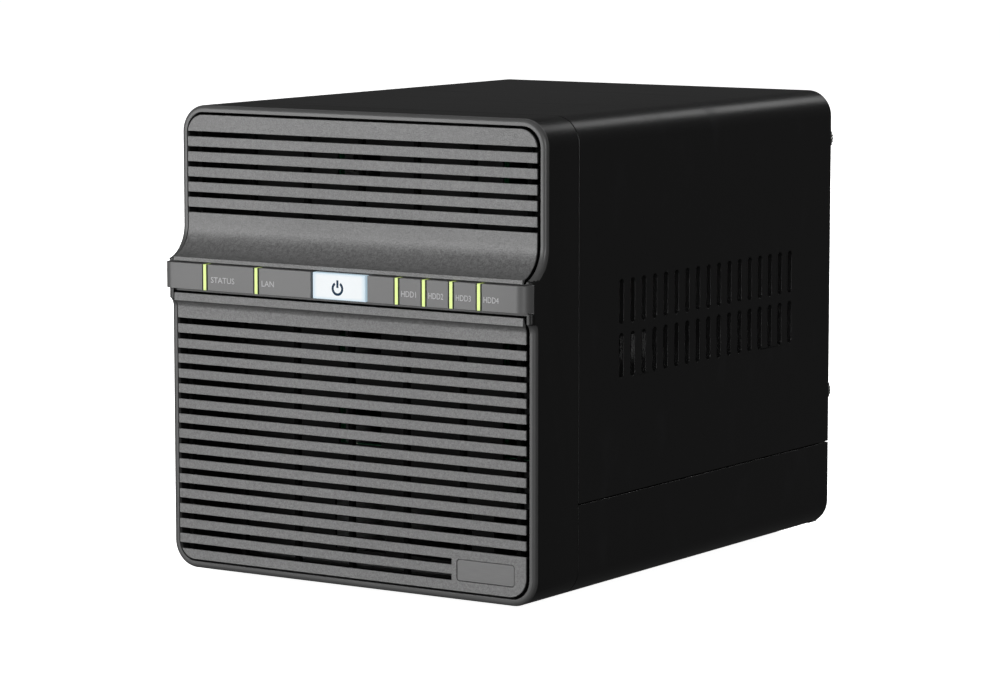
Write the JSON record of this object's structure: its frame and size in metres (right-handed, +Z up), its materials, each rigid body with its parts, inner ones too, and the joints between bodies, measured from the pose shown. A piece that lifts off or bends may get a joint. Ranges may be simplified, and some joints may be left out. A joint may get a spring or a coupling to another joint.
{
  "type": "nas enclosure",
  "caption": "Desktop network storage box for 3.5-inch drives: slotted front with a lit indicator strip, glossy cover, fold-down fan door and slide-out drive trays.",
  "frame": {"origin": "middle of the footprint, on the plane the feet rest on", "axes": "+Z up, -Y out of the front, +X to the right seen from the front"},
  "size_m": [0.168, 0.232, 0.184],
  "materials": {
    "gloss_black": "glossy black moulded casing",
    "front_grey": "speckled grey paint, fine grain",
    "strip_grey": "smooth satin grey",
    "badge_metal": "satin grey, blank, a fine border",
    "light_green": "translucent, lit yellow-green",
    "button_white": "translucent white, lit",
    "foot_rubber": "soft matt",
    "cage_steel": "zinc-plated sheet",
    "tray_plastic": "fine moulded texture",
    "handle_plastic": "fine moulded texture",
    "board_green": "solder mask",
    "socket_black": "moulded",
    "socket_metal": "nickel-plated",
    "door_black": "fine powder coat",
    "fan_black": "moulded satin",
    "rotor_black": "moulded satin",
    "screw_black": "black oxide",
    "screw_steel": "plated",
    "thumb_steel": "knurled, plated",
    "sink_aluminium": "extruded",
    "cable_grey": "ribbed ribbon"
  },
  "bodies": {
    "case": {"front_bezel": "gloss_black", "upper_faceplate": "front_grey", "lower_faceplate": "front_grey", "badge_plate": "badge_metal", "indicator_strip": "strip_grey", "status_light_pipe": "light_green", "network_light_pipe": "light_green", "drive_light_pipe_1": "light_green", "drive_light_pipe_2": "light_green", "drive_light_pipe_3": "light_green", "drive_light_pipe_4": "light_green", "upper_cover": "gloss_black", "base_shell": "gloss_black", "feet": "foot_rubber", "front_bulkhead": "door_black", "cage_left_wall": "cage_steel", "cage_right_wall": "cage_steel", "cage_floor": "cage_steel", "cage_top": "cage_steel", "drive_backplane": "board_green", "drive_sockets": "socket_black", "hinge_pin": "screw_steel", "connector_panel": "door_black", "panel_screws": "screw_steel", "main_board": "board_green", "board_screws": "screw_steel", "heat_sink": "sink_aluminium", "network_jack": "socket_metal", "usb_socket_lower": "socket_metal", "usb_socket_upper": "socket_metal", "power_inlet": "socket_black", "reset_switch": "socket_black", "light_board": "board_green", "power_switch": "socket_black", "flat_cable": "cable_grey"},
    "power_button": {"power_button": "button_white"},
    "tray_1": {"drive_tray_1": "tray_plastic", "tray_handle_1": "handle_plastic"},
    "tray_2": {"drive_tray_2": "tray_plastic", "tray_handle_2": "handle_plastic"},
    "tray_3": {"drive_tray_3": "tray_plastic", "tray_handle_3": "handle_plastic"},
    "tray_4": {"drive_tray_4": "tray_plastic", "tray_handle_4": "handle_plastic"},
    "back_door": {"back_door": "door_black", "fan_frame_lower": "fan_black", "fan_frame_upper": "fan_black", "fan_screws": "screw_black"},
    "fan_rotor_lower": {"fan_rotor_lower": "rotor_black"},
    "fan_rotor_upper": {"fan_rotor_upper": "rotor_black"},
    "thumbscrew_1": {"thumbscrew_1": "thumb_steel"},
    "thumbscrew_2": {"thumbscrew_2": "thumb_steel"},
    "thumbscrew_3": {"thumbscrew_3": "thumb_steel"},
    "thumbscrew_4": {"thumbscrew_4": "thumb_steel"},
    "reset_button": {"reset_button": "button_white"}
  },
  "joints": [
    {"name": "power_press", "type": "slide", "parent": "case", "child": "power_button", "axis": [0, 1, 0], "range_m": [0, 0.001], "stiffness_N_per_m": 400, "springref_m": -0.0004},
    {"name": "reset_press", "type": "slide", "parent": "case", "child": "reset_button", "axis": [0, -1, 0], "range_m": [0, 0.0005], "stiffness_N_per_m": 200, "springref_m": -0.0003},
    {"name": "door_hinge", "type": "hinge", "parent": "case", "child": "back_door", "pos_m": [0.0205, 0.1105, 0.0095], "axis": [-1, 0, 0], "range_deg": [0, 90]},
    {"name": "fan_spin_lower", "type": "hinge", "parent": "back_door", "child": "fan_rotor_lower", "pos_m": [0.021, 0.0965, 0.053], "axis": [0, 1, 0], "continuous": true},
    {"name": "fan_spin_upper", "type": "hinge", "parent": "back_door", "child": "fan_rotor_upper", "pos_m": [0.021, 0.0965, 0.136], "axis": [0, 1, 0], "continuous": true},
    {"name": "thumb_turn_1", "type": "hinge", "parent": "back_door", "child": "thumbscrew_1", "pos_m": [-0.033, 0.1135, 0.0594], "axis": [0, 1, 0], "continuous": true},
    {"name": "thumb_turn_2", "type": "hinge", "parent": "back_door", "child": "thumbscrew_2", "pos_m": [-0.033, 0.1135, 0.164], "axis": [0, 1, 0], "continuous": true},
    {"name": "thumb_turn_3", "type": "hinge", "parent": "back_door", "child": "thumbscrew_3", "pos_m": [0.075, 0.1135, 0.0594], "axis": [0, 1, 0], "continuous": true},
    {"name": "thumb_turn_4", "type": "hinge", "parent": "back_door", "child": "thumbscrew_4", "pos_m": [0.075, 0.1135, 0.164], "axis": [0, 1, 0], "continuous": true},
    {"name": "tray_slide_1", "type": "slide", "parent": "case", "child": "tray_1", "axis": [0, 1, 0], "range_m": [0, 0.12]},
    {"name": "tray_slide_2", "type": "slide", "parent": "case", "child": "tray_2", "axis": [0, 1, 0], "range_m": [0, 0.12]},
    {"name": "tray_slide_3", "type": "slide", "parent": "case", "child": "tray_3", "axis": [0, 1, 0], "range_m": [0, 0.12]},
    {"name": "tray_slide_4", "type": "slide", "parent": "case", "child": "tray_4", "axis": [0, 1, 0], "range_m": [0, 0.12]}
  ],
  "couplings": [
    {"joint": "tray_slide_1", "follows": "door_hinge", "m_per_rad": 0.026},
    {"joint": "tray_slide_2", "follows": "door_hinge", "m_per_rad": 0.05},
    {"joint": "tray_slide_3", "follows": "door_hinge", "m_per_rad": 0.068},
    {"joint": "tray_slide_4", "follows": "door_hinge", "m_per_rad": 0.076}
  ]
}
